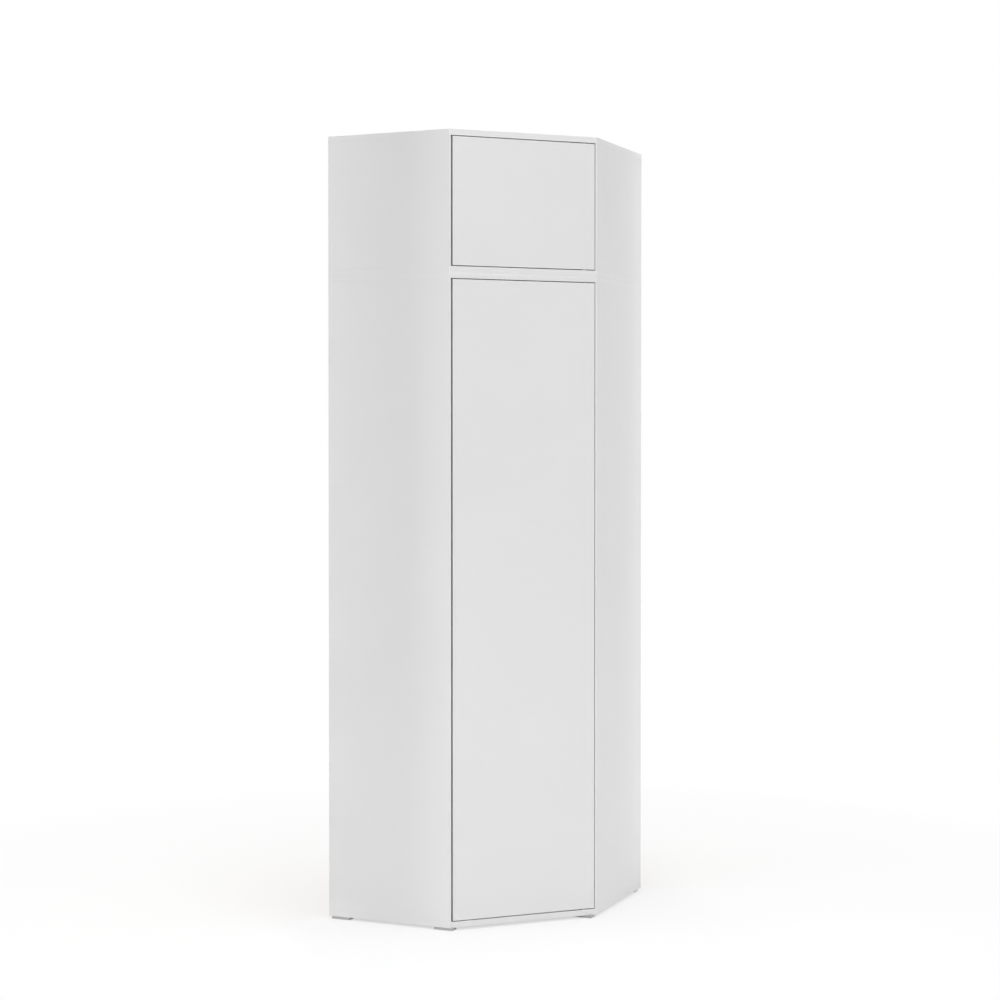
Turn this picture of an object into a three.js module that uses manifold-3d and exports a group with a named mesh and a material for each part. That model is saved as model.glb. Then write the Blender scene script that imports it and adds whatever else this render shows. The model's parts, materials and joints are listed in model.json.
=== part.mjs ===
// Corner wardrobe in white laminated board: a tall five-sided cabinet with a top box on it.
// Each has one inset door without a handle across the diagonal front. Millimetres, +Z up.
// The room's two walls are the planes x = -caseSide / 2 and y = caseSide / 2, and the floor is z = 0.
import * as THREE from "three";
import { mergeVertices } from "three/addons/utils/BufferGeometryUtils.js";
import Module from "manifold-3d";

const wasm = await Module();
wasm.setup();

// Case
const caseSide = 750; // along each wall
const sideDepth = 408; // of each side panel, out from its wall
const overallHeight = 2400;
const topBoxHeight = 426;
const board = 18; // every panel and door
const glideHeight = 8;

// Backs of thin board, let into rebates
const backBoard = 3;
const rebateWidth = 10;
const rebateFit = 0.3; // between a back and the rebate round it
const postSize = 40; // square post in the room's corner

// Doors, inset in the diagonal front
const frontStrip = 6; // of a side panel's edge that shows beside a door
const doorGap = 2.5; // above and below a door
const hingeGap = 2; // at the hinged edge
const freeGap = 5.5; // at the free edge

// Pivot hinges at the top and bottom of each door
const pivotInset = 32; // from the door's hinged edge to the pivot
const leafThickness = 2.5;
const leafWidth = 13;
const leafTail = 48; // from the pivot towards the middle of the door
const leafNose = 12; // from the pivot towards the hinged edge
const leafFit = 0.3; // round a leaf in its recess
const pivotRadius = 3.5;
const pivotReach = 9; // of the pin past the door's leaf
const pivotFit = 0.2; // between the pin and what turns on it
const pivotBoreSpare = 1; // of the door's bore, past the pin's end
const washerRadius = 6.2;
const washerPlay = 0.3; // between a washer and the door's leaf

// Push latches, with a magnet on the plunger and a steel strike let into the door
const latchInset = 45.5; // from the door's free edge to the plunger
const latchDrop = 16; // from the deck to the plunger's axis
const latchSetback = 2; // from the door's back to the housing
const latchLength = 80;
const latchBarrelRadius = 7;
const latchWeb = 8;
const latchFlange = { width: 30, length: 62, thickness: 2.5 };
const plungerRadius = 4;
const plungerFit = 0.3;
const plungerLength = 70; // of the shank inside the housing
const plungerBoreSpare = 3;
const plungerHeadRadius = 5.5;
const plungerPlay = 0.3; // from the head to the strike, and from the head to the housing
const strikeRadius = 8;
const strikeThickness = 1.2;
const strikeFit = 0.3;

// Hat shelf and its five supports
const hatSpace = 296; // from the shelf to the cabinet's top board
const shelfGap = 1; // to the panels round it
const shelfSetback = 45; // from the front plane
const supportInset = 60; // from each end of a side panel
const supportWidth = 12;
const supportReach = 10;
const supportTongue = 3;
const supportPlate = { height: 14, thickness: 1.5 };
const supportShankRadius = 2.4;
const supportShank = 8;
const supportShankDrop = 8; // from the shelf to the shank
const supportFit = 0.2; // round the shank, and past its end

// Hanging rail, an upright oval tube hung under the shelf across the deepest part of the case
const railInset = 155; // from the rear end of a side panel's inner face to the rail's end
const railHeight = 30;
const railWidth = 15;
const railWall = 1.2;
const railDrop = 62; // from the shelf to the rail's axis
const railFit = 0.3;
const bracketWall = 3;
const bracketGrip = 16; // of the socket on the rail
const bracketPlate = { length: 60, width: 36 };
const bracketStem = 10;

// Screws that join the top box to the cabinet
const joinInset = 60; // from the faces of the side panels and from their front ends
const joinHeadRadius = 8;
const joinHead = 2.5;
const joinBoltRadius = 3;
const joinSleeveRadius = 4.5;
const joinFit = 0.3;

// Wall brackets, inside the top box
const wallBracketLeg = 40;
const wallBracketWidth = 20;
const wallBracketThickness = 2;
const wallBracketInset = 220; // from the room's corner

// Floor glides
const glideLength = 62; // along the left panel
const glideWidth = 30;
const glideInset = 9; // of the rear glides, from the walls
const glideFaceInset = 8; // of the right glides, from the right panel's face
const glideLeftReach = 10; // of the front left glide, past the front end of its side panel
const glideRightReach = 25; // of the front right glide, past the front end of its side panel
const glideScrewRadius = 5;
const glideScrewDepth = 4;

// Sides of the round pieces
const smallSides = 16;
const pivotSides = 24;
const ovalSides = 12; // of each half round of the rail
const cutOver = 1; // cutters run this far past the faces that they open

// Levels
const half = caseSide / 2;
const lowerFloor = glideHeight + board;
const seam = overallHeight - topBoxHeight;
const lowerCeiling = seam - board;
const boxFloor = seam + board;
const boxCeiling = overallHeight - board;
const shelfTop = lowerCeiling - hatSpace;
const shelfUnder = shelfTop - board;

// The diagonal front has its own frame: x along it to the right, y into the case, origin at its middle
const frontTurn = Math.PI / 4;
const frontWidth = (caseSide - sideDepth) * Math.SQRT2;
const front = new THREE.Group();
front.position.set(sideDepth / 2, -sideDepth / 2, 0);
front.rotation.z = frontTurn;
front.updateMatrix();
const doorLeft = -frontWidth / 2 + frontStrip + freeGap;
const doorRight = frontWidth / 2 - frontStrip - hingeGap;
const pivotX = doorRight - pivotInset;
const pivotY = board / 2;
const latchX = doorLeft + latchInset;

const laminate = { color: 0xe2e2e1, roughness: 0.42, metalness: 0 };
const hardboard = { color: 0xdedddb, roughness: 0.6, metalness: 0 };
const greyPlastic = { color: 0xb9bbbd, roughness: 0.5, metalness: 0 };
const whitePlastic = { color: 0xe9e9e6, roughness: 0.45, metalness: 0 };
const zincSteel = { color: 0xb4b6b8, roughness: 0.35, metalness: 1 };
const chrome = { color: 0xd2d4d6, roughness: 0.12, metalness: 1 };

const wardrobe = new THREE.Group();
wardrobe.add(front);

function addPiece(name, geometry, finish, parent = wardrobe) {
  const shown = geometry.index ? geometry.toNonIndexed() : geometry;
  shown.computeVertexNormals();
  const mesh = new THREE.Mesh(shown, new THREE.MeshStandardMaterial(finish));
  mesh.name = name;
  parent.add(mesh);
}

function solidOf(geometry) {
  const bare = geometry.clone();
  bare.deleteAttribute("normal");
  bare.deleteAttribute("uv");
  const merged = mergeVertices(bare);
  const triVerts = new Uint32Array(merged.index.array);
  const vertProperties = merged.attributes.position.array;
  return new wasm.Manifold(new wasm.Mesh({ numProp: 3, vertProperties, triVerts }));
}

function geometryOf(solid) {
  const mesh = solid.getMesh();
  const geometry = new THREE.BufferGeometry();
  geometry.setAttribute("position", new THREE.BufferAttribute(mesh.vertProperties, 3));
  geometry.setIndex(new THREE.BufferAttribute(mesh.triVerts, 1));
  return geometry;
}

function cut(geometry, cutters) {
  return geometryOf(cutters.reduce((rest, cutter) => rest.subtract(solidOf(cutter)), solidOf(geometry)));
}

function join(first, ...others) {
  return geometryOf(others.reduce((whole, other) => whole.add(solidOf(other)), solidOf(first)));
}

// A box between two values along each axis, given in either order
function block([x0, x1], [y0, y1], [z0, z1]) {
  const box = new THREE.BoxGeometry(Math.abs(x1 - x0), Math.abs(y1 - y0), Math.abs(z1 - z0));
  return box.translate((x0 + x1) / 2, (y0 + y1) / 2, (z0 + z1) / 2);
}

// An outline in plan, raised between two levels
function prism(points, [z0, z1]) {
  const shape = new THREE.Shape(points.map(([x, y]) => new THREE.Vector2(x, y)));
  const raised = new THREE.ExtrudeGeometry(shape, { depth: Math.abs(z1 - z0), bevelEnabled: false });
  return raised.translate(0, 0, Math.min(z0, z1));
}

// A round upright rod
function rod(radius, [x, y], [z0, z1], sides) {
  const upright = new THREE.CylinderGeometry(radius, radius, Math.abs(z1 - z0), sides);
  return upright.rotateX(Math.PI / 2).translate(x, y, (z0 + z1) / 2);
}

// A round rod along Y
function spindle(radius, x, [y0, y1], z, sides) {
  const along = new THREE.CylinderGeometry(radius, radius, Math.abs(y1 - y0), sides);
  return along.translate(x, (y0 + y1) / 2, z);
}

// A point in plan, mirrored about the room's diagonal from the left wing to the right one
function mirrored([x, y]) {
  return [-y, -x];
}

const plan = [
  [-half, -half],
  [-half + sideDepth, -half],
  [half, half - sideDepth],
  [half, half],
  [-half, half],
];

// Backs
function backSpans(floor, ceiling) {
  const z = [floor - rebateWidth, ceiling + rebateWidth];
  return {
    left: [[-half, -half + backBoard], [-half + board - rebateWidth, half - backBoard], z],
    right: [[-half, half - board + rebateWidth], [half - backBoard, half], z],
  };
}

// The room that the two backs of a case take from the boards round them, one upright angle
function rebate(floor, ceiling) {
  const { left } = backSpans(floor, ceiling);
  const outer = -half - cutOver;
  const inner = left[0][1] + rebateFit;
  const end = left[1][0] - rebateFit;
  const wing = [
    [outer, end],
    [inner, end],
  ];
  const outline = [...wing, [inner, -inner], ...wing.map(mirrored).reverse(), [outer, -outer]];
  return prism(outline, [left[2][0] - rebateFit, left[2][1] + rebateFit]);
}

function addBacks(prefix, floor, ceiling) {
  const spans = backSpans(floor, ceiling);
  addPiece(prefix + "_back_panel_left", block(...spans.left), hardboard);
  addPiece(prefix + "_back_panel_right", block(...spans.right), hardboard);
}

// Side panels: the front end is mitred so that it lies along the door's edge
const sideOutline = [
  [-half, -half],
  [-half + sideDepth, -half],
  [-half + sideDepth + frontStrip / Math.SQRT2, -half + frontStrip / Math.SQRT2],
  [-half + sideDepth + frontStrip * Math.SQRT2 - board, -half + board],
  [-half, -half + board],
];

function addSides(prefix, floor, ceiling, bores) {
  const backs = rebate(floor, ceiling);
  const left = prism(sideOutline, [floor, ceiling]);
  const right = prism(sideOutline.map(mirrored), [floor, ceiling]);
  addPiece(prefix + "_side_panel_left", cut(left, [backs, ...bores]), laminate);
  addPiece(prefix + "_side_panel_right", cut(right, [backs, ...bores]), laminate);
}

function addPost(prefix, floor, ceiling, bores) {
  const x = [-half + backBoard, -half + backBoard + postSize];
  const y = [half - backBoard - postSize, half - backBoard];
  addPiece(prefix + "_corner_post", cut(block(x, y, [floor, ceiling]), bores), laminate);
}

// The long flat outline of a hinge leaf, grown by a clearance
function leafOutline(grow) {
  const radius = leafWidth / 2 + grow;
  const shape = [];
  for (let step = 0; step <= smallSides; step += 1) {
    const angle = Math.PI / 2 + (Math.PI * step) / smallSides;
    shape.push([
      pivotX - leafTail + leafWidth / 2 + radius * Math.cos(angle),
      pivotY + radius * Math.sin(angle),
    ]);
  }
  for (let step = 0; step <= smallSides; step += 1) {
    const angle = -Math.PI / 2 + (Math.PI * step) / smallSides;
    shape.push([
      pivotX + leafNose - leafWidth / 2 + radius * Math.cos(angle),
      pivotY + radius * Math.sin(angle),
    ]);
  }
  return shape;
}

// Levels of one hinge. The deck's face is at level, and up is 1 on a floor and -1 under a ceiling
function hingeLevels(level, up) {
  const doorEdge = level + up * doorGap;
  return {
    deckRecess: [level - up * leafThickness, level + up * cutOver],
    deckLeaf: [level - up * leafThickness, level],
    pin: [level - up * leafThickness, doorEdge + up * (leafThickness + pivotReach)],
    washer: [level, doorEdge - up * washerPlay],
    doorLeaf: [doorEdge, doorEdge + up * leafThickness],
    doorRecess: [doorEdge - up * cutOver, doorEdge + up * leafThickness],
    doorBore: [doorEdge, doorEdge + up * (leafThickness + pivotReach + pivotBoreSpare)],
  };
}

function addHinge(name, level, up) {
  const at = [pivotX, pivotY];
  const z = hingeLevels(level, up);
  const pin = rod(pivotRadius, at, z.pin, pivotSides);
  const hole = rod(pivotRadius + pivotFit, at, z.pin, pivotSides);
  addPiece(name + "_case_leaf", join(prism(leafOutline(0), z.deckLeaf), pin), zincSteel, front);
  addPiece(name + "_door_leaf", cut(prism(leafOutline(0), z.doorLeaf), [hole]), zincSteel, front);
  if (up > 0) {
    const ring = rod(washerRadius, at, z.washer, pivotSides);
    addPiece(name + "_washer", cut(ring, [hole]), whitePlastic, front);
  }
}

// What a hinge takes from the deck, in the part's own frame
function deckRecess(level, up) {
  return prism(leafOutline(leafFit), hingeLevels(level, up).deckRecess).applyMatrix4(front.matrix);
}

// What a hinge takes from the door, in the front's frame
function doorRecesses(level, up) {
  const z = hingeLevels(level, up);
  return [
    prism(leafOutline(leafFit), z.doorRecess),
    rod(pivotRadius + pivotFit, [pivotX, pivotY], z.doorBore, pivotSides),
  ];
}

// A push latch on the deck at level, standing up from a floor or hanging from a ceiling
function addLatch(name, level, up) {
  const axis = level + up * latchDrop;
  const y0 = board + latchSetback;
  const flangeZ = [level, level + up * latchFlange.thickness];
  const flangeX = [latchX - latchFlange.width / 2, latchX + latchFlange.width / 2];
  const flangeY = [y0, y0 + latchFlange.length];
  const flange = block(flangeX, flangeY, flangeZ);
  const webX = [latchX - latchWeb / 2, latchX + latchWeb / 2];
  const web = block(webX, flangeY, [level, axis]);
  const barrel = spindle(latchBarrelRadius, latchX, [y0, y0 + latchLength], axis, smallSides);
  const boreY = [y0 - cutOver, y0 + plungerLength + plungerBoreSpare];
  const bore = spindle(plungerRadius + plungerFit, latchX, boreY, axis, smallSides);
  addPiece(name + "_housing", cut(join(flange, web, barrel), [bore]), greyPlastic, front);

  const headY = [board + plungerPlay, y0 - plungerPlay];
  const head = spindle(plungerHeadRadius, latchX, headY, axis, smallSides);
  const shank = spindle(plungerRadius, latchX, [headY[0], y0 + plungerLength], axis, smallSides);
  addPiece(name + "_plunger", join(head, shank), whitePlastic, front);

  const strike = spindle(strikeRadius, latchX, [board - strikeThickness, board], axis, pivotSides);
  addPiece(name + "_strike", strike, zincSteel, front);
}

function strikeRecess(level, up) {
  const y = [board - strikeThickness - strikeFit, board + cutOver];
  return spindle(strikeRadius + strikeFit, latchX, y, level + up * latchDrop, pivotSides);
}

function addDoor(name, floor, ceiling, latches) {
  const panel = block([doorLeft, doorRight], [0, board], [floor + doorGap, ceiling - doorGap]);
  const hinges = [...doorRecesses(floor, 1), ...doorRecesses(ceiling, -1)];
  const strikes = latches.map(([, level, up]) => strikeRecess(level, up));
  addPiece(name, cut(panel, [...hinges, ...strikes]), laminate, front);
  addHinge(name + "_bottom_hinge", floor, 1);
  addHinge(name + "_top_hinge", ceiling, -1);
  latches.forEach(([latchName, level, up]) => addLatch(latchName, level, up));
}

// Shelf supports: each stands on a face of the case, at a point in plan, turned to look into the case
const supportAlong = [-half + supportInset, -half + sideDepth - supportInset];
const supports = [
  ...supportAlong.map((x) => ({ at: [x, -half + board], turn: 0 })),
  ...supportAlong.map((x) => ({ at: mirrored([x, -half + board]), turn: Math.PI / 2 })),
  { at: [-half + backBoard + postSize / 2, half - backBoard - postSize], turn: Math.PI },
];

function placed(geometry, support) {
  return geometry.rotateZ(support.turn).translate(support.at[0], support.at[1], shelfUnder);
}

const supportBores = supports.map((support) =>
  placed(
    spindle(
      supportShankRadius + supportFit,
      0,
      [-supportShank - supportFit, cutOver],
      -supportShankDrop,
      smallSides,
    ),
    support,
  ),
);

function addSupports() {
  supports.forEach((support, index) => {
    const x = [-supportWidth / 2, supportWidth / 2];
    const tongue = block(x, [0, supportReach], [-supportTongue, 0]);
    const plate = block(x, [0, supportPlate.thickness], [-supportPlate.height, 0]);
    const shankY = [-supportShank, supportPlate.thickness];
    const shank = spindle(supportShankRadius, 0, shankY, -supportShankDrop, smallSides);
    addPiece("shelf_support_" + (index + 1), placed(join(tongue, plate, shank), support), zincSteel);
  });
}

function addShelf() {
  const wall = -half + backBoard + shelfGap;
  const side = -half + board + shelfGap;
  const notch = wall + postSize;
  const frontOffset = sideDepth - shelfSetback * Math.SQRT2; // x - y along the shelf's front edge
  const leftWing = [
    [wall, -notch],
    [wall, side],
    [frontOffset + side, side],
  ];
  const rightWing = leftWing.map(mirrored).reverse();
  const outline = [...leftWing, ...rightWing, [notch, -notch]];
  addPiece("hat_shelf", prism(outline, [shelfUnder, shelfTop]), laminate);
}

// An upright oval as a path: half rounds above and below straight sides
function oval(width, height, Kind) {
  const radius = width / 2;
  const straight = height / 2 - radius;
  const path = new Kind();
  path.moveTo(radius, -straight);
  path.lineTo(radius, straight);
  path.absarc(0, straight, radius, 0, Math.PI, false);
  path.lineTo(-radius, -straight);
  path.absarc(0, -straight, radius, Math.PI, 2 * Math.PI, false);
  return path;
}

// An oval drawn in Y and Z, run along X between two values
function alongRail(shape, [x0, x1]) {
  const run = new THREE.ExtrudeGeometry(shape, {
    depth: x1 - x0,
    bevelEnabled: false,
    curveSegments: ovalSides,
  });
  const turn = new THREE.Matrix4().makeBasis(
    new THREE.Vector3(0, 1, 0),
    new THREE.Vector3(0, 0, 1),
    new THREE.Vector3(1, 0, 0),
  );
  return run.applyMatrix4(turn).translate(x0, 0, -railDrop);
}

function addRail() {
  const group = new THREE.Group();
  group.position.z = shelfUnder;
  group.rotation.z = frontTurn;
  wardrobe.add(group);

  const end = (half - board) * Math.SQRT2 - railInset;
  const tube = oval(railWidth, railHeight, THREE.Shape);
  tube.holes.push(oval(railWidth - 2 * railWall, railHeight - 2 * railWall, THREE.Path));
  addPiece("hanging_rail", alongRail(tube, [-end, end]), chrome, group);

  const socketX = [end - bracketGrip, end + railFit + bracketWall];
  const grown = 2 * (railFit + bracketWall);
  const socket = alongRail(oval(railWidth + grown, railHeight + grown, THREE.Shape), socketX);
  const seat = oval(railWidth + 2 * railFit, railHeight + 2 * railFit, THREE.Shape);
  const hollow = alongRail(seat, [socketX[0] - cutOver, end + railFit]);
  const middle = (socketX[0] + socketX[1]) / 2;
  const plateX = [middle - bracketPlate.length / 2, middle + bracketPlate.length / 2];
  const plateY = [-bracketPlate.width / 2, bracketPlate.width / 2];
  const plate = block(plateX, plateY, [-bracketWall, 0]);
  const stemZ = [-bracketWall, -railDrop + railHeight / 2 + railFit + bracketWall / 2];
  const stem = block(socketX, [-bracketStem / 2, bracketStem / 2], stemZ);
  const bracket = cut(join(plate, stem, socket), [hollow]);
  addPiece("rail_bracket_right", bracket, chrome, group);
  addPiece("rail_bracket_left", bracket.clone().rotateZ(Math.PI), chrome, group);
}

// Joining screws: a bolt from the top box's floor into a sleeve nut from under the cabinet's top
const joinNear = [
  [-half + joinInset, -half + joinInset],
  [-half + sideDepth - joinInset, -half + joinInset],
];
const joinPoints = [...joinNear, ...joinNear.map(mirrored)];

function joinBores(level) {
  return joinPoints.map((at) =>
    rod(joinSleeveRadius + joinFit, at, [level - cutOver, level + board + cutOver], smallSides),
  );
}

function addJoins() {
  joinPoints.forEach((at, index) => {
    const head = rod(joinHeadRadius, at, [boxFloor, boxFloor + joinHead], smallSides);
    const shank = rod(joinBoltRadius, at, [lowerCeiling, boxFloor + joinHead], smallSides);
    addPiece("joining_bolt_" + (index + 1), join(head, shank), zincSteel);

    const flange = rod(joinHeadRadius, at, [lowerCeiling - joinHead, lowerCeiling], smallSides);
    const sleeve = rod(joinSleeveRadius, at, [lowerCeiling - joinHead, seam], smallSides);
    const thread = rod(joinBoltRadius + joinFit, at, [lowerCeiling - joinFit, seam + cutOver], smallSides);
    addPiece("joining_sleeve_" + (index + 1), cut(join(flange, sleeve), [thread]), zincSteel);
  });
}

function addWallBrackets() {
  const y = [-wallBracketWidth / 2, wallBracketWidth / 2];
  const upright = block([0, wallBracketThickness], y, [boxCeiling - wallBracketLeg, boxCeiling]);
  const level = block([0, wallBracketLeg], y, [boxCeiling - wallBracketThickness, boxCeiling]);
  const bracket = join(upright, level);
  const leftAt = [-half + backBoard, half - wallBracketInset];
  const rightAt = mirrored(leftAt);
  addPiece("wall_bracket_left", bracket.clone().translate(...leftAt, 0), zincSteel);
  addPiece("wall_bracket_right", bracket.rotateZ(-Math.PI / 2).translate(...rightAt, 0), zincSteel);
}

// Glides, one under each corner of the case
function addGlides() {
  const near = -half + glideInset;
  const far = half - glideInset - glideWidth;
  const right = half - glideFaceInset - glideLength;
  const corners = {
    rear_left: [near, -half],
    front_left: [-half + sideDepth + glideLeftReach - glideLength, -half],
    front_right: [right, half - sideDepth - glideRightReach],
    rear_right: [right, far],
    corner: [near, far],
  };
  Object.entries(corners).forEach(([place, [x, y]]) => {
    const pad = block([x, x + glideLength], [y, y + glideWidth], [0, glideHeight]);
    const middle = [x + glideLength / 2, y + glideWidth / 2];
    const recess = rod(glideScrewRadius, middle, [-cutOver, glideScrewDepth], smallSides);
    addPiece("glide_" + place, cut(pad, [recess]), greyPlastic);
  });
}

// A deck is a five-sided board that closes a case below or above
function addDeck(name, level, cutters) {
  addPiece(name, cut(prism(plan, [level, level + board]), cutters), laminate);
}

const lowerRebate = rebate(lowerFloor, lowerCeiling);
const boxRebate = rebate(boxFloor, boxCeiling);

addDeck("cabinet_bottom_panel", glideHeight, [lowerRebate, deckRecess(lowerFloor, 1)]);
addDeck("cabinet_top_panel", lowerCeiling, [
  lowerRebate,
  deckRecess(lowerCeiling, -1),
  ...joinBores(lowerCeiling),
]);
addSides("cabinet", lowerFloor, lowerCeiling, supportBores);
addBacks("cabinet", lowerFloor, lowerCeiling);
addPost("cabinet", lowerFloor, lowerCeiling, supportBores);
addSupports();
addShelf();
addRail();
addDoor("lower_door", lowerFloor, lowerCeiling, [
  ["lower_door_top_latch", lowerCeiling, -1],
  ["lower_door_bottom_latch", lowerFloor, 1],
]);

addDeck("top_box_bottom_panel", seam, [boxRebate, deckRecess(boxFloor, 1), ...joinBores(seam)]);
addDeck("top_box_top_panel", boxCeiling, [boxRebate, deckRecess(boxCeiling, -1)]);
addSides("top_box", boxFloor, boxCeiling, []);
addBacks("top_box", boxFloor, boxCeiling);
addPost("top_box", boxFloor, boxCeiling, []);
addDoor("upper_door", boxFloor, boxCeiling, [["upper_door_latch", boxFloor, 1]]);
addJoins();
addWallBrackets();
addGlides();

export default wardrobe;
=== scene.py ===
# A white corner wardrobe with a diagonal front: a tall cabinet and a top box on it, with a door each.
# Its two rear sides lie at -X and +Y, and the front looks to +X and -Y. All sizes are in metres.
import json
import math

import bmesh
import bpy
from mathutils import Color, Matrix, Vector


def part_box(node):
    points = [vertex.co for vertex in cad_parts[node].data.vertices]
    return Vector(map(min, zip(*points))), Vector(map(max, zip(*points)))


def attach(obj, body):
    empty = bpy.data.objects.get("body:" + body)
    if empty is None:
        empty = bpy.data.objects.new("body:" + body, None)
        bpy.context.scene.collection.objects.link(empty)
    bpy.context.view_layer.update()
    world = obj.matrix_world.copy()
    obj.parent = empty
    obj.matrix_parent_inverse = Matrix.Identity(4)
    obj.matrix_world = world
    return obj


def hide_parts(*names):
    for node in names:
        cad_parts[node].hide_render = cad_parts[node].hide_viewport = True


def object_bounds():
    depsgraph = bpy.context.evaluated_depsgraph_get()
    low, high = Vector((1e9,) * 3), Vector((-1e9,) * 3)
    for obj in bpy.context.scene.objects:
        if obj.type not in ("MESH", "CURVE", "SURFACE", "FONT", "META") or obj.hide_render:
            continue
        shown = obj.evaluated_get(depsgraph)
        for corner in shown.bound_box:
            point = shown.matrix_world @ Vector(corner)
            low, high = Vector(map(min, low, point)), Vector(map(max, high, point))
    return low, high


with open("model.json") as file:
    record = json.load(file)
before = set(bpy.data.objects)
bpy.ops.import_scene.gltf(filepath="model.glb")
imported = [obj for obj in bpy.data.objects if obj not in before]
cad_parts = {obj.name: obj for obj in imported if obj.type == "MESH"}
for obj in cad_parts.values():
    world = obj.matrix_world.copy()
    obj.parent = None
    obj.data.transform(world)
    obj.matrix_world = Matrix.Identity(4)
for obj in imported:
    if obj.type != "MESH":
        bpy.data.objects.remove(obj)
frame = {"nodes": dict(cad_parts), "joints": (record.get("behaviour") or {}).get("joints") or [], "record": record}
cad_low, cad_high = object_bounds()

# Laminated boards
# Every panel of the case is 18 mm particle board, pressed on both faces with a white satin foil. The
# edges that show carry a band of the same white, lightly rounded. The rear edges are left raw.
FACE_TONES = (227, 227, 227), (225, 225, 225)
FACE_GLOSS = 0.36, 0.44
FACE_GRAINS = 1100  # per metre
FACE_RELIEF = 0.00003
BAND_TONES = (228, 228, 228), (225, 225, 225)
BAND_GLOSS = 0.3, 0.38
DRIFT = 2.5, 3  # noise: patches per metre, and its levels of detail
MOTTLE = 22, 4
GRAIN_DETAIL = 2
CHIP_TONES = (205, 178, 138), (142, 108, 70)
CHIP_GLOSS = 0.75, 0.95
CHIPS = 260  # per metre
CHIP_RELIEF = 0.0004
CLOUDS = 9, 5
DUST_DETAIL = 6
DUST_WEIGHT = 0.4, 1.3  # how much a flake's depth of tone is scaled by
CLOUD_WEIGHT = 0.7, 1.3
NOISE_SPAN = 0.3, 0.7  # where most of a noise texture's values lie
CHIP_SPAN = 0.25, 0.75
SCREEN_WHITE = 255
COLOR_A = 6  # of the Mix node's sockets
COLOR_B = 7
COLOR_MIXED = 2
CASE_EASING = 0.0005
EASING_STEPS = 3  # strips round an eased edge
LONG_EDGE = 0.012  # the shortest edge of a board that is eased
RAW_REACH = 0.0035  # from the rear, the rebates for the backs included
BAND_FACE = 1  # a board's second finish, after its foil
RAW_FACE = 2
WELD = 0.00001  # points closer than this are one
FLAT = math.radians(1)  # faces that differ by less are one
CORNER = math.radians(30)  # edges that turn by more are eased

record = frame["record"]
bodies = record["behaviour"]["bodies"]
body_of = {node: body for body, members in bodies.items() for node in members}
slot_of = {part["node"]: part["material_slot"] for part in record["subparts"]}


def shown(tone):
    """The renderer's linear colour for a tone that is given as a screen shows it."""
    return (*Color([value / SCREEN_WHITE for value in tone]).from_srgb_to_scene_linear(), 1)


def new_effect(name, inputs, outputs):
    """An empty node group with named sockets, with its input and output nodes."""
    group = bpy.data.node_groups.new(name, "ShaderNodeTree")
    for label, kind in inputs:
        group.interface.new_socket(name=label, in_out="INPUT", socket_type="NodeSocket" + kind)
    for label, kind in outputs:
        group.interface.new_socket(name=label, in_out="OUTPUT", socket_type="NodeSocket" + kind)
    return group, group.nodes.new("NodeGroupInput"), group.nodes.new("NodeGroupOutput")


def add_noise(tree, place, scale, detail):
    """A noise texture read at a place. The scale is a socket or a number per metre."""
    noise = tree.nodes.new("ShaderNodeTexNoise")
    noise.inputs["Detail"].default_value = detail
    tree.links.new(place, noise.inputs["Vector"])
    if isinstance(scale, bpy.types.NodeSocket):
        tree.links.new(scale, noise.inputs["Scale"])
    else:
        noise.inputs["Scale"].default_value = scale
    return noise.outputs["Fac"]


def add_range(tree, value, source, target):
    """A value stretched from one range to another. The target's ends are sockets or numbers."""
    stretch = tree.nodes.new("ShaderNodeMapRange")
    tree.links.new(value, stretch.inputs["Value"])
    stretch.inputs["From Min"].default_value = source[0]
    stretch.inputs["From Max"].default_value = source[1]
    for label, end in zip(("To Min", "To Max"), target):
        if isinstance(end, bpy.types.NodeSocket):
            tree.links.new(end, stretch.inputs[label])
        else:
            stretch.inputs[label].default_value = end
    return stretch.outputs["Result"]


def add_mix(tree, share, low, high):
    """A colour between two colour sockets."""
    mix = tree.nodes.new("ShaderNodeMix")
    mix.data_type = "RGBA"
    tree.links.new(share, mix.inputs["Factor"])
    tree.links.new(low, mix.inputs[COLOR_A])
    tree.links.new(high, mix.inputs[COLOR_B])
    return mix.outputs[COLOR_MIXED]


EFFECT_INPUTS = (
    ("Place", "Vector"),
    ("Light tone", "Color"),
    ("Deep tone", "Color"),
    ("Gloss from", "Float"),
    ("Gloss to", "Float"),
    ("Grains", "Float"),
)
EFFECT_OUTPUTS = ("Color", "Color"), ("Roughness", "Float"), ("Height", "Float")


def make_pressed_skin():
    """Foil or moulded plastic: a slow drift of tone and gloss under a fine pressed grain."""
    tree, given, made = new_effect("pressed skin", EFFECT_INPUTS, EFFECT_OUTPUTS)
    place = given.outputs["Place"]
    gloss_ends = given.outputs["Gloss from"], given.outputs["Gloss to"]
    drift = add_range(tree, add_noise(tree, place, *DRIFT), NOISE_SPAN, (0, 1))
    gloss = add_range(tree, add_noise(tree, place, *MOTTLE), NOISE_SPAN, gloss_ends)
    tone = add_mix(tree, drift, given.outputs["Light tone"], given.outputs["Deep tone"])
    grain = add_noise(tree, place, given.outputs["Grains"], GRAIN_DETAIL)
    tree.links.new(tone, made.inputs["Color"])
    tree.links.new(gloss, made.inputs["Roughness"])
    tree.links.new(grain, made.inputs["Height"])
    return tree


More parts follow.
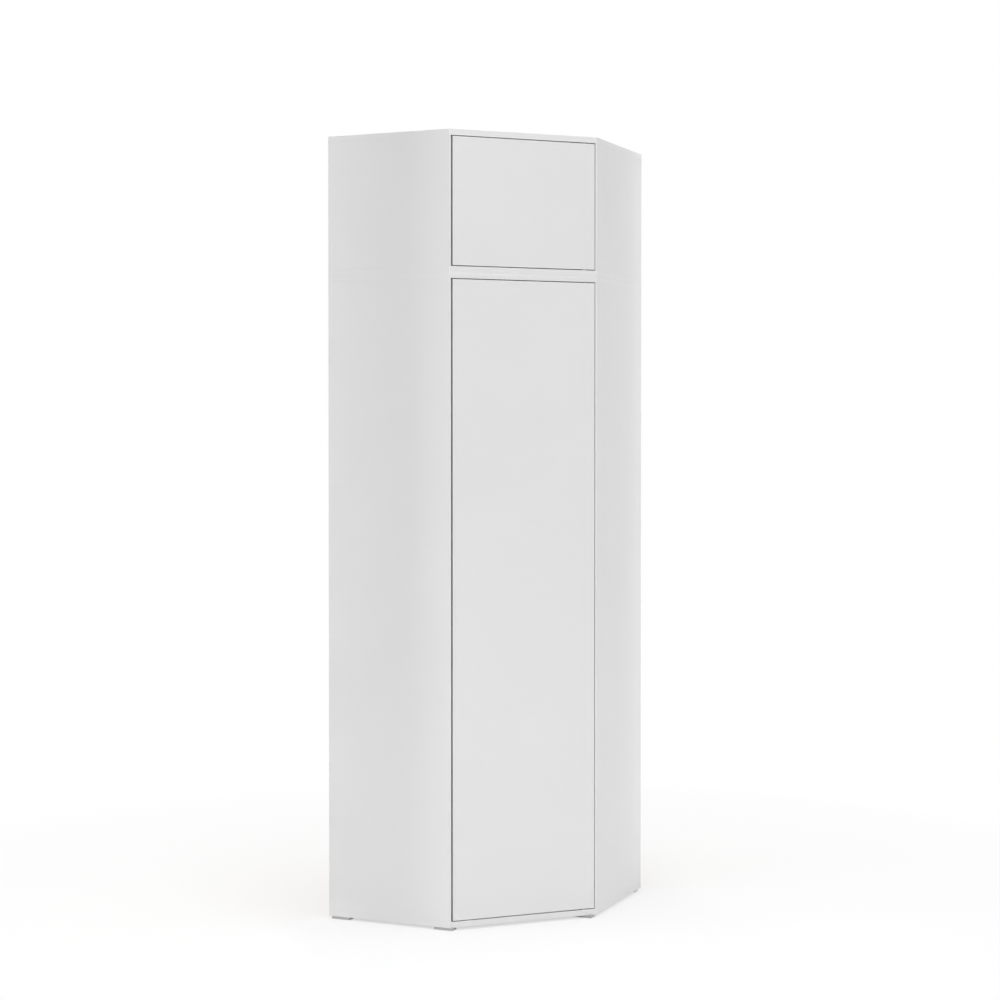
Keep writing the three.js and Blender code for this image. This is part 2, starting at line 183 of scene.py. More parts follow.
def make_pressed_chips():
    """Raw wood chips or fibres pressed with glue: pale and dark flakes, finer dust and slow clouds."""
    tree, given, made = new_effect("pressed chips", EFFECT_INPUTS, EFFECT_OUTPUTS)
    place = given.outputs["Place"]
    flakes = tree.nodes.new("ShaderNodeTexVoronoi")
    tree.links.new(place, flakes.inputs["Vector"])
    tree.links.new(given.outputs["Grains"], flakes.inputs["Scale"])
    flake = tree.nodes.new("ShaderNodeSeparateColor")
    tree.links.new(flakes.outputs["Color"], flake.inputs["Color"])
    dust = add_noise(tree, place, given.outputs["Grains"], DUST_DETAIL)
    clouds = add_noise(tree, place, *CLOUDS)
    share = flake.outputs["Red"]
    for noise, weight in ((dust, DUST_WEIGHT), (clouds, CLOUD_WEIGHT)):
        product = tree.nodes.new("ShaderNodeMath")
        product.operation = "MULTIPLY"
        tree.links.new(share, product.inputs[0])
        tree.links.new(add_range(tree, noise, CHIP_SPAN, weight), product.inputs[1])
        share = product.outputs["Value"]
    tone = add_mix(tree, share, given.outputs["Light tone"], given.outputs["Deep tone"])
    gloss = add_range(tree, dust, (0, 1), (given.outputs["Gloss from"], given.outputs["Gloss to"]))
    tree.links.new(tone, made.inputs["Color"])
    tree.links.new(gloss, made.inputs["Roughness"])
    tree.links.new(share, made.inputs["Height"])
    return tree


def start_finish(name):
    """An empty material, its nodes and the place on the piece that its effects read."""
    finish = bpy.data.materials.new(name)
    finish.use_nodes = True
    tree = finish.node_tree
    return finish, tree, tree.nodes.new("ShaderNodeTexCoord").outputs["Object"]


def add_look(tree, effect, place, tones, gloss, grains):
    """Places one effect in a material with its own tones, gloss and grain, and returns its outputs."""
    look = tree.nodes.new("ShaderNodeGroup")
    look.node_tree = effect
    tree.links.new(place, look.inputs["Place"])
    look.inputs["Light tone"].default_value = shown(tones[0])
    look.inputs["Deep tone"].default_value = shown(tones[1])
    look.inputs["Gloss from"].default_value, look.inputs["Gloss to"].default_value = gloss
    look.inputs["Grains"].default_value = grains
    return look.outputs


def lay_on(tree, color, roughness, height, relief, metallic=0):
    """Feeds colour, roughness and fine relief to the material's shader."""
    shader = tree.nodes["Principled BSDF"]
    shader.inputs["Metallic"].default_value = metallic
    bump = tree.nodes.new("ShaderNodeBump")
    bump.inputs["Distance"].default_value = relief
    tree.links.new(color, shader.inputs["Base Color"])
    tree.links.new(roughness, shader.inputs["Roughness"])
    tree.links.new(height, bump.inputs["Height"])
    tree.links.new(bump.outputs["Normal"], shader.inputs["Normal"])


def make_finish(name, effect, tones, gloss, grains, relief, metallic=0):
    """A material made of one effect."""
    finish, tree, place = start_finish(name)
    look = add_look(tree, effect, place, tones, gloss, grains)
    lay_on(tree, look["Color"], look["Roughness"], look["Height"], relief, metallic)
    return finish


def merged_copy(node):
    """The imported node's mesh with its triangles joined and its flat faces made whole."""
    shape = bmesh.new()
    shape.from_mesh(frame["nodes"][node].data)
    bmesh.ops.remove_doubles(shape, verts=shape.verts, dist=WELD)
    bmesh.ops.dissolve_limit(shape, angle_limit=FLAT, verts=shape.verts, edges=shape.edges)
    return shape


def ease(shape, edges, width, steps):
    """Rounds the edges, and shades the new strips smoothly."""
    rounded = bmesh.ops.bevel(
        shape,
        geom=edges,
        offset=width,
        offset_type="OFFSET",
        segments=steps,
        profile=0.5,
        affect="EDGES",
        clamp_overlap=True,
        material=-1,
    )
    for face in rounded["faces"]:
        face.smooth = True


def outer_edges(shape, shortest):
    """The edges at a shape's outer corners that are longer than a given length."""
    return [
        edge
        for edge in shape.edges
        if edge.is_manifold and edge.calc_length() > shortest and edge.calc_face_angle_signed() > CORNER
    ]


def add_piece(name, shape, body, slot, *finishes):
    """Makes a shape into a piece that rides on a body."""
    mesh = bpy.data.meshes.new(name)
    shape.to_mesh(mesh)
    shape.free()
    for finish in finishes:
        mesh.materials.append(finish)
    piece = bpy.data.objects.new(name, mesh)
    bpy.context.scene.collection.objects.link(piece)
    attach(piece, body)
    return piece


def stand_for(node, ending, shape, *finishes):
    """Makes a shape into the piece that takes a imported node's place."""
    piece = add_piece(node + ending, shape, body_of[node], slot_of[node], *finishes)
    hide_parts(node)
    return piece


def at_the_rear(face):
    """Whether a face looks to one of the case's two rear sides, at -X and +Y, and lies close to it."""
    place = face.calc_center_median()
    left = -face.normal.x > math.cos(CORNER) and place.x < cad_low.x + RAW_REACH
    right = face.normal.y > math.cos(CORNER) and place.y > cad_high.y - RAW_REACH
    return left or right


def outline(shape, edges):
    """The edges that lie round the outside of a board, without the rims of its bores and recesses."""
    kept = []
    for edge in edges:
        away = edge.link_faces[0].normal + edge.link_faces[1].normal
        reach = max(vert.co.dot(away) for vert in shape.verts)
        if edge.verts[0].co.dot(away) > reach - WELD:
            kept.append(edge)
    return kept


def add_board(node, easing):
    """A board with a foiled face on each side, and banded or raw edges round it."""
    shape = merged_copy(node)
    broad = max(shape.faces, key=lambda face: face.calc_area()).normal.copy()
    ease(shape, outline(shape, outer_edges(shape, LONG_EDGE)), easing, EASING_STEPS)
    for face in shape.faces:
        if abs(face.normal.dot(broad)) < math.cos(FLAT):
            face.material_index = RAW_FACE if at_the_rear(face) else BAND_FACE
    stand_for(node, "_board", shape, foil, band, raw_edge)


pressed_skin = make_pressed_skin()
pressed_chips = make_pressed_chips()
foil = make_finish("white satin foil", pressed_skin, FACE_TONES, FACE_GLOSS, FACE_GRAINS, FACE_RELIEF)
band = make_finish("white edge band", pressed_skin, BAND_TONES, BAND_GLOSS, FACE_GRAINS, FACE_RELIEF)
raw_edge = make_finish("raw particle board", pressed_chips, CHIP_TONES, CHIP_GLOSS, CHIPS, CHIP_RELIEF)
for case in ("cabinet", "top_box"):
    for board in ("bottom_panel", "top_panel", "side_panel_left", "side_panel_right", "corner_post"):
        add_board(case + "_" + board, CASE_EASING)

# Back panels
# Two sheets of 3 mm hardboard slide into rebates along the two rear sides of each case. They have white
# lacquer on the side that looks into the case, and are raw brown board on the other.
LACQUER_TONES = (226, 226, 225), (223, 223, 222)
LACQUER_GLOSS = 0.4, 0.5
FIBRE_TONES = (176, 144, 108), (138, 106, 74)
FIBRE_GLOSS = 0.75, 0.9
FIBRES = 900  # per metre
FIBRE_RELIEF = 0.00012
RAW_DEPTH = 0.0005  # from the outer face, where the raw board gives way to lacquer


def make_hardboard():
    """White lacquer on the inside and raw fibres on the outside."""
    finish, tree, place = start_finish("hardboard")
    lacquer = add_look(tree, pressed_skin, place, LACQUER_TONES, LACQUER_GLOSS, FACE_GRAINS)
    fibres = add_look(tree, pressed_chips, place, FIBRE_TONES, FIBRE_GLOSS, FIBRES)
    parts = tree.nodes.new("ShaderNodeSeparateXYZ")
    tree.links.new(place, parts.inputs["Vector"])
    left = add_range(tree, parts.outputs["X"], (cad_low.x + RAW_DEPTH, cad_low.x), (0, 1))
    right = add_range(tree, parts.outputs["Y"], (cad_high.y - RAW_DEPTH, cad_high.y), (0, 1))
    raw = tree.nodes.new("ShaderNodeMath")
    raw.operation = "MAXIMUM"
    tree.links.new(left, raw.inputs[0])
    tree.links.new(right, raw.inputs[1])
    share = raw.outputs["Value"]
    tone = add_mix(tree, share, lacquer["Color"], fibres["Color"])
    roughness = add_range(tree, share, (0, 1), (lacquer["Roughness"], fibres["Roughness"]))
    height = add_range(tree, share, (0, 1), (lacquer["Height"], fibres["Height"]))
    lay_on(tree, tone, roughness, height, FIBRE_RELIEF)
    return finish


hardboard = make_hardboard()
for case in ("cabinet", "top_box"):
    for side in ("left", "right"):
        frame["nodes"][case + "_back_panel_" + side].material_slots[0].material = hardboard

# Cam caps
# Each side panel is drawn to the boards above and below by cam fittings let into its inner face. A round
# white plastic cap is pressed over each.
CAP_RADIUS = 0.0085
CAP_HEIGHT = 0.0009
CAP_EASING = 0.0004
CAP_DIMPLE = 0.0055
CAP_SINK = 0.0003
CAP_LEVEL = 0.034  # from the board above or below
CAP_INSETS = 0.075, 0.065  # from the rear and the front end of the inner face
CAP_TONES = (230, 230, 228), (227, 227, 225)
CAP_GLOSS = 0.34, 0.46
CAP_GRAINS = 1600  # per metre
CAP_RELIEF = 0.00002
ROUND_STEPS = 32
RIM_STEPS = 3
SMOOTH = math.radians(32)

white_plastic = make_finish("white plastic", pressed_skin, CAP_TONES, CAP_GLOSS, CAP_GRAINS, CAP_RELIEF)


def as_mesh(shape, name):
    """A closed shape as a mesh, its faces looking outwards."""
    bmesh.ops.recalc_face_normals(shape, faces=shape.faces)
    mesh = bpy.data.meshes.new(name)
    shape.to_mesh(mesh)
    shape.free()
    return mesh


def make_turned(profile):
    """A round body from a profile of radius and height pairs, both its ends on the axis."""
    shape = bmesh.new()
    line = [shape.verts.new((radius, 0, level)) for radius, level in profile]
    edges = [shape.edges.new(pair) for pair in zip(line, line[1:])]
    bmesh.ops.spin(
        shape,
        geom=line + edges,
        cent=(0, 0, 0),
        axis=(0, 0, 1),
        angle=math.tau,
        steps=ROUND_STEPS,
        use_merge=True,
    )
    hub = [vert for vert in shape.verts if vert.co.xy.length < WELD]
    bmesh.ops.remove_doubles(shape, verts=hub, dist=WELD)
    return as_mesh(shape, "turned body")


def add_copies(name, body, slot, finish, made, places, direction):
    """A piece of equal bodies, each made on +Z, that stand at several places on a face."""
    shape = bmesh.new()
    turn = Vector(direction).to_track_quat("Z", "Y").to_matrix().to_4x4()
    for place in places:
        start = len(shape.verts)
        shape.from_mesh(made)
        shape.verts.ensure_lookup_table()
        bmesh.ops.transform(shape, matrix=Matrix.Translation(place) @ turn, verts=shape.verts[start:])
    for face in shape.faces:
        face.smooth = True
    piece = add_piece(name, shape, body, slot, finish)
    piece.data.set_sharp_from_angle(angle=SMOOTH)


def quarter(radius, level, easing):
    """The rounded outer rim of a turned body, from its flat top to its side."""
    angles = [math.pi / 2 * step / RIM_STEPS for step in range(RIM_STEPS + 1)]
    return [
        (radius - easing + easing * math.sin(angle), level - easing + easing * math.cos(angle))
        for angle in angles
    ]


def mirrored(place):
    """A place on the left wing, moved to the same place on the right wing."""
    return Vector((-place[1], -place[0], place[2]))


cap_profile = [
    (0, CAP_HEIGHT - CAP_SINK),
    (CAP_DIMPLE, CAP_HEIGHT - CAP_SINK),
    (CAP_DIMPLE, CAP_HEIGHT),
    *quarter(CAP_RADIUS, CAP_HEIGHT, CAP_EASING),
    (CAP_RADIUS, 0),
    (0, 0),
]
cap = make_turned(cap_profile)
for case in ("cabinet", "top_box"):
    low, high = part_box(case + "_side_panel_left")
    front_end = min(
        vert.co.x
        for vert in frame["nodes"][case + "_side_panel_left"].data.vertices
        if vert.co.x > (low.x + high.x) / 2 and vert.co.y > high.y - WELD
    )
    places = [
        Vector((x, high.y, z))
        for x in (low.x + CAP_INSETS[0], front_end - CAP_INSETS[1])
        for z in (low.z + CAP_LEVEL, high.z - CAP_LEVEL)
    ]
    caps = case + "_cam_caps_"
    add_copies(caps + "left", "case", "white_plastic", white_plastic, cap, places, (0, 1, 0))
    places = [mirrored(place) for place in places]
    add_copies(caps + "right", "case", "white_plastic", white_plastic, cap, places, (-1, 0, 0))
bpy.data.meshes.remove(cap)

# Hat shelf
# One more laminated board, banded all round, lies loose on the tongues of five supports. These are angles
# of bent sheet steel, zinc plated, each with a round shank in a hole.
ZINC_TONES = (196, 199, 203), (168, 171, 175)
ZINC_GLOSS = 0.28, 0.46
SPANGLES = 320  # per metre
ZINC_RELIEF = 0.00002
BRUSHING = 2400, 3
PATINA = 60, 3
FITTING_EASING = 0.0003
FITTING_STEPS = 2
SHORT_EDGE = 0.0006  # the shortest edge of a fitting that is eased


def make_plated_steel():
    """Plated steel: a patchwork of pale crystals, fine brushing and a slow change of gloss."""
    tree, given, made = new_effect("plated steel", EFFECT_INPUTS, EFFECT_OUTPUTS)
    place = given.outputs["Place"]
    crystals = tree.nodes.new("ShaderNodeTexVoronoi")
    tree.links.new(place, crystals.inputs["Vector"])
    tree.links.new(given.outputs["Grains"], crystals.inputs["Scale"])
    crystal = tree.nodes.new("ShaderNodeSeparateColor")
    tree.links.new(crystals.outputs["Color"], crystal.inputs["Color"])
    brushing = add_noise(tree, place, *BRUSHING)
    patina = add_noise(tree, place, *PATINA)
    gloss = add_range(tree, patina, NOISE_SPAN, (given.outputs["Gloss from"], given.outputs["Gloss to"]))
    tone = add_mix(tree, crystal.outputs["Red"], given.outputs["Light tone"], given.outputs["Deep tone"])
    tree.links.new(tone, made.inputs["Color"])
    tree.links.new(gloss, made.inputs["Roughness"])
    tree.links.new(brushing, made.inputs["Height"])
    return tree


def add_fitting(node, *finishes, change=None):
    """A small fitting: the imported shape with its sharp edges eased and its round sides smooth."""
    shape = merged_copy(node)
    ease(shape, outer_edges(shape, SHORT_EDGE), FITTING_EASING, FITTING_STEPS)
    if change:
        change(shape)
    for face in shape.faces:
        face.smooth = True
    piece = stand_for(node, "_fitting", shape, *finishes)
    piece.data.set_sharp_from_angle(angle=SMOOTH)


plated_steel = make_plated_steel()
zinc = make_finish("zinc plated steel", plated_steel, ZINC_TONES, ZINC_GLOSS, SPANGLES, ZINC_RELIEF, 1)
add_board("hat_shelf", CASE_EASING)
for node in sorted(frame["nodes"]):
    if node.startswith("shelf_support"):
        add_fitting(node, zinc)

# Hanging rail
# A chromed steel tube of oval section stands on edge in two die-cast sockets. Each socket's plate is
# screwed up into the shelf from below.
CHROME_TONES = (226, 228, 230), (216, 218, 221)
CHROME_GLOSS = 0.06, 0.14
CHROME_GRAINS = 900  # per metre
CHROME_RELIEF = 0.000004
SCREW_RADIUS = 0.0038
SCREW_HEIGHT = 0.0006
SCREW_GRID = 3  # squares along each side of the flat top, with the cross in the middle ones
SCREW_RINGS = (0.8, 0.9), (1, 0.4), (1, 0)  # shares of the head's radius and height, going down
CROSS_ARM = 0.52  # shares of the head's radius
CROSS_WIDTH = 0.11
CROSS_TAPER = 0.03
CROSS_DEPTH = 0.9  # of the head's height
SOCKET_PLATE = 0.003
SOCKET_SCREWS = 0.022  # from the middle of the plate

chrome = make_finish("chrome", plated_steel, CHROME_TONES, CHROME_GLOSS, CHROME_GRAINS, CHROME_RELIEF, 1)


def make_screw(radius, height):
    """A low domed screw head with a cross recess."""
    shape = bmesh.new()
    half = radius * CROSS_ARM
    bmesh.ops.create_grid(shape, x_segments=SCREW_GRID, y_segments=SCREW_GRID, size=half)
    for vert in shape.verts:
        for axis in (0, 1):
            if abs(vert.co[axis]) < half - WELD:
                vert.co[axis] = math.copysign(radius * CROSS_WIDTH, vert.co[axis])
        vert.co.z = height
    cross = [face for face in shape.faces if min(map(abs, face.calc_center_median().xy)) < WELD]
    rim = [edge for edge in shape.edges if edge.is_boundary]
    bmesh.ops.subdivide_edges(shape, edges=rim, cuts=1)
    rim = [edge for edge in shape.edges if edge.is_boundary]
    for reach, level in SCREW_RINGS:
        ring = bmesh.ops.extrude_edge_only(shape, edges=rim)["geom"]
        rim = [item for item in ring if isinstance(item, bmesh.types.BMEdge)]
        for vert in (item for item in ring if isinstance(item, bmesh.types.BMVert)):
            flat = vert.co.xy.normalized() * (radius * reach)
            vert.co = (flat.x, flat.y, height * level)
    bmesh.ops.holes_fill(shape, edges=rim)
    bmesh.ops.recalc_face_normals(shape, faces=shape.faces)
    bmesh.ops.inset_region(
        shape, faces=cross, thickness=radius * CROSS_TAPER, depth=-height * CROSS_DEPTH
    )
    return as_mesh(shape, "screw head")


def add_screws(name, body, places, direction, radius=SCREW_RADIUS, height=SCREW_HEIGHT):
    """A piece of several screw heads that look the same way."""
    head = make_screw(radius, height)
    add_copies(name + "_screws", body, "zinc_steel", zinc, head, places, direction)
    bpy.data.meshes.remove(head)


along = Vector((1, 1, 0)).normalized()  # to the right across the diagonal front
up = Vector((0, 0, 1))
add_fitting("hanging_rail", chrome)
for side in ("left", "right"):
    node = "rail_bracket_" + side
    add_fitting(node, chrome)
    low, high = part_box(node)
    middle = Vector(((low.x + high.x) / 2, (low.y + high.y) / 2, high.z - SOCKET_PLATE))
    places = [middle + along * share for share in (-SOCKET_SCREWS, SOCKET_SCREWS)]
    add_screws(node, "case", places, -up)

# Doors
# Each door is a single board of the same kind, with a thicker band that is rounded a little more. It lies
# flush between the boards above and below it, with a narrow gap all round, and has no handle.
DOOR_EASING = 0.001

add_board("lower_door", DOOR_EASING)
add_board("upper_door", DOOR_EASING)

# Pivot hinges
# Each door turns on two steel pins, one below it and one above. Each pin stands on a leaf let flush into
# the case's board, a second leaf in the door's edge takes it, and the lower pin carries a nylon washer.
LEAF_SCREWS = -0.038, -0.016  # along the leaf, from the pivot
LEAF_SCREW_RADIUS = 0.003
LEAF_SCREW_HEIGHT = 0.0003

pivots = {joint["child"]: Vector(joint["pos_m"]) for joint in frame["joints"] if joint["type"] == "hinge"}
decks = {
    "lower_door": (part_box("cabinet_bottom_panel")[1].z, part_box("cabinet_top_panel")[0].z),
    "upper_door": (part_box("top_box_bottom_panel")[1].z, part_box("top_box_top_panel")[0].z),
}
for door, levels in decks.items():
    low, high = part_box(door)
    pivot = Vector((pivots[door].x, pivots[door].y, 0))
    for end, deck_level, door_level, away in (
        ("bottom", levels[0], low.z, up),
        ("top", levels[1], high.z, -up),
    ):
        hinge = door + "_" + end + "_hinge_"
        add_fitting(hinge + "case_leaf", zinc)
        add_fitting(hinge + "door_leaf", zinc)
        for leaf, level, direction in (("case_leaf", deck_level, away), ("door_leaf", door_level, -away)):
            places = [pivot + along * share + up * level for share in LEAF_SCREWS]
            node = hinge + leaf
            add_screws(node, body_of[node], places, direction, LEAF_SCREW_RADIUS, LEAF_SCREW_HEIGHT)
    add_fitting(door + "_bottom_hinge_washer", white_plastic)

# Push latches
# A grey plastic barrel on a flange is screwed to the board. Its sprung white plunger has a magnet in its
# head that holds a round steel plate let into the door's back. A push on the door lets it spring out.
GREY_TONES = (179, 179, 179), (171, 171, 171)
GREY_GLOSS = 0.42, 0.55
GREY_GRAINS = 1500  # per metre
GREY_RELIEF = 0.00003
MAGNET_TONES = (96, 97, 99), (78, 79, 81)
MAGNET_GLOSS = 0.3, 0.45
MAGNET_GRAINS = 600  # per metre
MAGNET_RELIEF = 0.00001
MAGNET_FACE = 1  # a plunger's second finish, after its plastic
MAGNET_RIM = 0.0014
MAGNET_DEPTH = 0.0002
FLANGE = 0.0025
FLANGE_SCREWS_ACROSS = 0.0112
FLANGE_SCREWS_DEEP = 0.03, 0.072  # from the diagonal front
LATCH_SCREW_RADIUS = 0.0029
STRIKE_SCREW_HEIGHT = 0.00015

grey_plastic = make_finish("grey plastic", pressed_skin, GREY_TONES, GREY_GLOSS, GREY_GRAINS, GREY_RELIEF)
magnet = make_finish("magnet", plated_steel, MAGNET_TONES, MAGNET_GLOSS, MAGNET_GRAINS, MAGNET_RELIEF, 1)
inward = Vector((-1, 1, 0)).normalized()  # into the case through the diagonal front
front_reach = max(vert.co.dot(-inward) for vert in frame["nodes"]["cabinet_bottom_panel"].data.vertices)
front_middle = -inward * front_reach


def sink_magnet(shape):
    """Lets a magnet into the plunger's front face."""
    face = max(shape.faces, key=lambda face: (round(face.normal.dot(-inward), 2), face.calc_area()))
    bmesh.ops.inset_region(shape, faces=[face], thickness=MAGNET_RIM, depth=-MAGNET_DEPTH)
    face.material_index = MAGNET_FACE


for latch, door, away in (
    ("lower_door_bottom_latch", "lower_door", up),
    ("lower_door_top_latch", "lower_door", -up),
    ("upper_door_latch", "upper_door", up),
):
    add_fitting(latch + "_housing", grey_plastic)
    add_fitting(latch + "_plunger", white_plastic, magnet, change=sink_magnet)
    add_fitting(latch + "_strike", zinc)
    low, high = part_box(latch + "_strike")
    strike = (low + high) / 2
    deck_level = decks[door][0] if away == up else decks[door][1]
    across = along * strike.dot(along)
    level = up * deck_level + away * FLANGE
    places = [
        front_middle + across + along * aside + inward * depth + level
        for aside in (-FLANGE_SCREWS_ACROSS, FLANGE_SCREWS_ACROSS)
        for depth in FLANGE_SCREWS_DEEP
    ]
    add_screws(latch + "_housing", "case", places, away, LATCH_SCREW_RADIUS)
    depth = max(vert.co.dot(inward) for vert in frame["nodes"][latch + "_strike"].data.vertices)
    face_middle = across + inward * depth + up * strike.z
    add_screws(latch + "_strike", door, [face_middle], inward, LEAF_SCREW_RADIUS, STRIKE_SCREW_HEIGHT)

# Joining screws
# Four zinc plated bolts go down through the top box's floor and turn into sleeve nuts, which come up
# through the cabinet's top board. Both have a wide flat head with a cross recess.
JOIN_CROSS_RADIUS = 0.0062

for node in sorted(frame["nodes"]):
    if node.startswith("joining_"):
        add_fitting(node, zinc)
        low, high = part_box(node)
        upward = node.startswith("joining_bolt")
        place = Vector(((low.x + high.x) / 2, (low.y + high.y) / 2, high.z if upward else low.z))
        add_screws(node, "case", [place], up if upward else -up, JOIN_CROSS_RADIUS)

# Safety brackets
# An angle of plated steel under the top board, at each of the two backs, ties the tall case to the
# building, so that it can't tip over when its doors are open.
BRACKET_SHEET = 0.002
BRACKET_SCREW = 0.026  # from the bend

for side, into_case in (("left", Vector((1, 0, 0))), ("right", Vector((0, -1, 0)))):
    node = "wall_bracket_" + side
    add_fitting(node, zinc)
    low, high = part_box(node)
    middle = (low + high) / 2
    reach = max(high.x - low.x, high.y - low.y) / 2
    bend = middle - into_case * reach
    on_back = Vector((bend.x, bend.y, high.z - BRACKET_SCREW)) + into_case * BRACKET_SHEET
    on_board = Vector((bend.x, bend.y, high.z - BRACKET_SHEET)) + into_case * BRACKET_SCREW
    add_screws(node + "_wall", "case", [on_back], into_case)
    add_screws(node + "_board", "case", [on_board], -up)

# Floor glides
# Oblong pads of the same grey plastic under the corners keep the board off the floor. A sunk screw holds
# each.
GLIDE_EASING = 0.001
GLIDE_EDGE = 0.006  # the shortest edge of a pad that is eased
GLIDE_SCREW_DEPTH = 0.004
GLIDE_SCREW_RADIUS = 0.0042
GLIDE_SCREW_HEIGHT = 0.0015

for node in sorted(frame["nodes"]):
    if node.startswith("glide_"):
        shape = merged_copy(node)
        ease(shape, outer_edges(shape, GLIDE_EDGE), GLIDE_EASING, EASING_STEPS)
        stand_for(node, "_pad", shape, grey_plastic)
        low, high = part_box(node)
        place = Vector(((low.x + high.x) / 2, (low.y + high.y) / 2, low.z + GLIDE_SCREW_DEPTH))
        add_screws(node, "case", [place], -up, GLIDE_SCREW_RADIUS, GLIDE_SCREW_HEIGHT)

# Studio floor
# A wide pale sheet that keeps the soft shadow under the wardrobe and turns into plain white further out.
# It meets a plain white world with no line between them.
FLOOR_SIDE = 60
FLOOR_TONE = 0.84
FLOOR_ROUGHNESS = 0.9
SHADOW_REACH = 0.9, 2.4  # from the middle of the wardrobe: where the floor starts and ends turning white
SHADOW_FILL = 0.6  # how white it is by the wardrobe


def add_seen_directly(tree):
    """A socket that is 1 for what the camera sees, also in a mirror or through glass, and 0 for light."""
    path = tree.nodes.new("ShaderNodeLightPath")
    seen = path.outputs["Is Camera Ray"]
    for label in ("Is Glossy Ray", "Is Transmission Ray"):
        either = tree.nodes.new("ShaderNodeMath")
        either.operation = "MAXIMUM"
        tree.links.new(seen, either.inputs[0])
        tree.links.new(path.outputs[label], either.inputs[1])
        seen = either.outputs["Value"]
    return seen


def make_floor_paint():
    """Matte white paint that turns into plain white, where it is seen, away from the wardrobe."""
    paint = bpy.data.materials.new("pale floor")
    paint.use_nodes = True
    tree = paint.node_tree
    matte = tree.nodes["Principled BSDF"]
    matte.inputs["Base Color"].default_value = (FLOOR_TONE, FLOOR_TONE, FLOOR_TONE, 1)
    matte.inputs["Roughness"].default_value = FLOOR_ROUGHNESS
    matte.inputs["Specular IOR Level"].default_value = 0
    white = tree.nodes.new("ShaderNodeEmission")
    place = tree.nodes.new("ShaderNodeTexCoord")
    reach = tree.nodes.new("ShaderNodeVectorMath")
    reach.operation = "LENGTH"
    tree.links.new(place.outputs["Object"], reach.inputs[0])
    away = add_range(tree, reach.outputs["Value"], SHADOW_REACH, (SHADOW_FILL, 1))
    share = tree.nodes.new("ShaderNodeMath")
    share.operation = "MULTIPLY"
    tree.links.new(add_seen_directly(tree), share.inputs[0])
    tree.links.new(away, share.inputs[1])
    mix = tree.nodes.new("ShaderNodeMixShader")
    tree.links.new(share.outputs["Value"], mix.inputs["Fac"])
    tree.links.new(matte.outputs["BSDF"], mix.inputs[1])
    tree.links.new(white.outputs["Emission"], mix.inputs[2])
    tree.links.new(mix.outputs["Shader"], tree.nodes["Material Output"].inputs["Surface"])
    return paint


def add_sheet(name, corner, width, height, paint):
    """A flat sheet from a corner along two edges, as part of the studio."""
    shape = bmesh.new()
    bmesh.ops.create_grid(shape, x_segments=1, y_segments=1, size=1)
    half_width, half_height = Vector(width) / 2, Vector(height) / 2
    middle = Vector(corner) + half_width + half_height
    for vert in shape.verts:
        vert.co = middle + half_width * vert.co.x + half_height * vert.co.y
    mesh = bpy.data.meshes.new(name)
    shape.to_mesh(mesh)
    shape.free()
    mesh.materials.append(paint)
    sheet = bpy.data.objects.new(name, mesh)
    bpy.context.scene.collection.objects.link(sheet)
    return sheet


floor_edge = FLOOR_SIDE / 2
floor_corner = (-floor_edge, -floor_edge, 0)
add_sheet("floor", floor_corner, (FLOOR_SIDE, 0, 0), (0, FLOOR_SIDE, 0), make_floor_paint())

# Studio light
# Even light from all round, with soft lamps low and high in front, overhead and behind, and a narrow one
# to the left. A white card stands out from the rear edge of each side panel, unseen by the camera. It
# shades the panel and glows a little.
ROOM_LIGHT = 0.52
OPEN_BEAM = 180  # degrees
TOP_BEAM = 50
CARD_TONE = 0.95
LEFT_GLOW = 0.04
RIGHT_GLOW = 0.18
LEFT_REACH = 0.229  # how far the card stands out from its side panel
RIGHT_REACH = 0.167
CARD_TOP = 2.67
CARD_FOOT = 0.06

world = bpy.data.worlds.new("studio")
bpy.context.scene.world = world
world.use_nodes = True
tree = world.node_tree
backdrop = tree.nodes["Background"]
backdrop.inputs["Color"].default_value = (1, 1, 1, 1)
strength = add_range(tree, add_seen_directly(tree), (0, 1), (ROOM_LIGHT, 1))
tree.links.new(strength, backdrop.inputs["Strength"])


def add_lamp(name, place, aim, size, power, beam=OPEN_BEAM):
    """A soft rectangular lamp turned to the place that it aims at, unseen by the camera."""
    lamp = bpy.data.objects.new(name, bpy.data.lights.new(name, "AREA"))
    lamp.data.shape = "RECTANGLE"
    lamp.data.size, lamp.data.size_y = size
    lamp.data.spread = math.radians(beam)
    lamp.data.energy = power
    lamp.location = place
    lamp.rotation_euler = (Vector(aim) - Vector(place)).to_track_quat("-Z", "Y").to_euler()
    lamp.visible_camera = False
    bpy.context.scene.collection.objects.link(lamp)


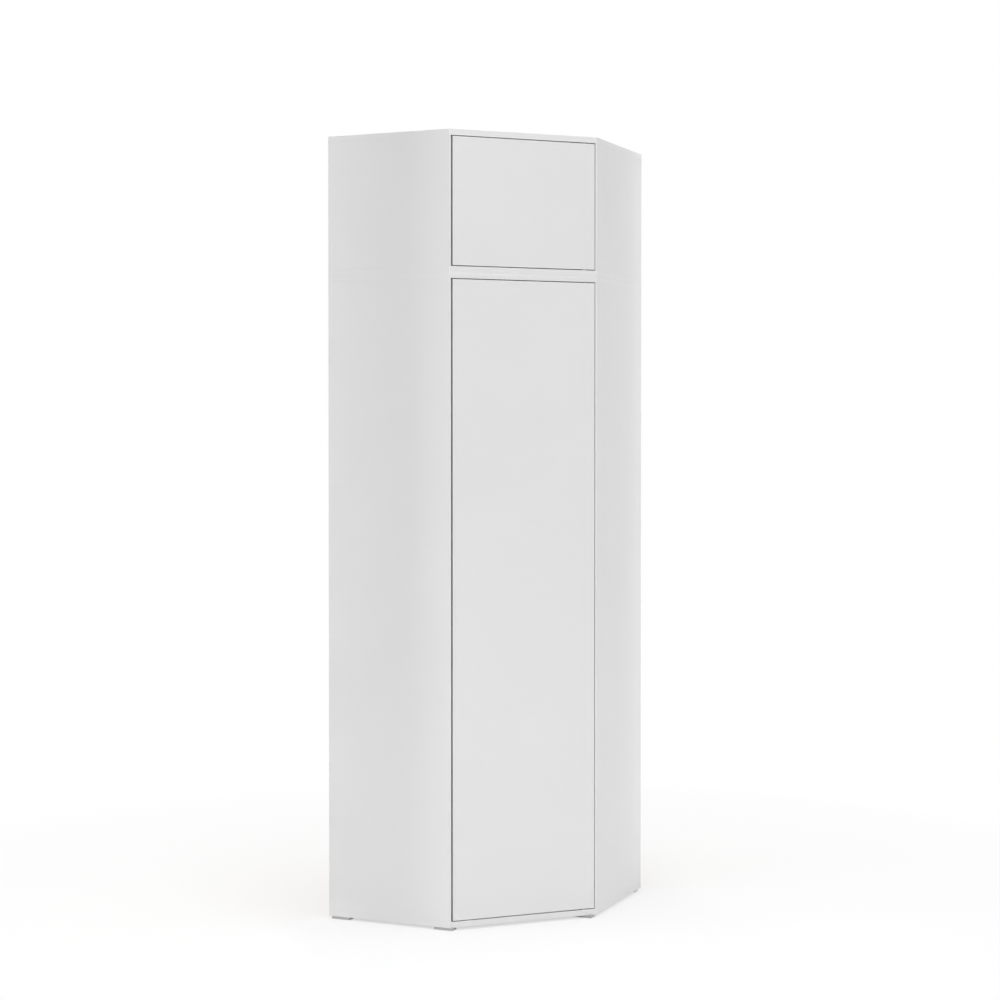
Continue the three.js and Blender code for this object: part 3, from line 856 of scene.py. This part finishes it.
def make_card_paint(name, glow):
    """Matte white that glows a little."""
    paint = bpy.data.materials.new(name)
    paint.use_nodes = True
    matte = paint.node_tree.nodes["Principled BSDF"]
    matte.inputs["Base Color"].default_value = (CARD_TONE, CARD_TONE, CARD_TONE, 1)
    matte.inputs["Roughness"].default_value = 1
    matte.inputs["Emission Color"].default_value = (1, 1, 1, 1)
    matte.inputs["Emission Strength"].default_value = glow
    return paint


card_height = (0, 0, CARD_TOP - CARD_FOOT)
for name, corner, width, glow in (
    ("left_card", (cad_low.x, cad_low.y - LEFT_REACH, CARD_FOOT), (0, LEFT_REACH, 0), LEFT_GLOW),
    ("right_card", (cad_high.x, cad_high.y, CARD_FOOT), (RIGHT_REACH, 0, 0), RIGHT_GLOW),
):
    card = add_sheet(name, corner, width, card_height, make_card_paint(name, glow))
    card.visible_camera = False
    card.visible_glossy = False

add_lamp("low_lamp", place=(3.2, -3.2, 0.35), aim=(0.2, -0.2, 0.4), size=(4, 0.6), power=17.2)
add_lamp("high_lamp", place=(3.2, -3.2, 3.4), aim=(0.2, -0.2, 2.2), size=(4, 0.6), power=57.5)
add_lamp("top_lamp", place=(0.3, -0.3, 6), aim=(0.3, -0.3, 0), size=(5, 5), power=40, beam=TOP_BEAM)
add_lamp("left_lamp", place=(-3.565, -2.712, 1.3), aim=(-0.1, -0.375, 1.2), size=(0.8, 2.8), power=38)
add_lamp("rear_lamp", place=(-3.2, 3.2, 1.6), aim=(-0.2, 0.2, 1.2), size=(3, 2), power=45)

# Camera
# At eye height, well back and to the left of the diagonal front, as in the photograph. It looks almost
# level, so that upright edges stay upright, and a small shift lowers the view to the wardrobe's middle.
CAMERA_PLACE = (2.5767, -5.8615, 1.4751)
CAMERA_TURN = 23.4361  # degrees from +Y towards -X
CAMERA_DIP = 1.0161  # degrees below level
LENS = 72.862  # millimetres, as is the sensor
SENSOR = 36
SHIFT = -0.025

camera = bpy.data.objects.new("camera", bpy.data.cameras.new("camera"))
bpy.context.scene.collection.objects.link(camera)
camera.location = CAMERA_PLACE
camera.rotation_euler = (math.pi / 2 - math.radians(CAMERA_DIP), 0, math.radians(CAMERA_TURN))
camera.data.lens = LENS
camera.data.sensor_width = SENSOR
camera.data.shift_y = SHIFT
bpy.context.scene.camera = camera
bpy.context.scene.view_settings.view_transform = "Standard"
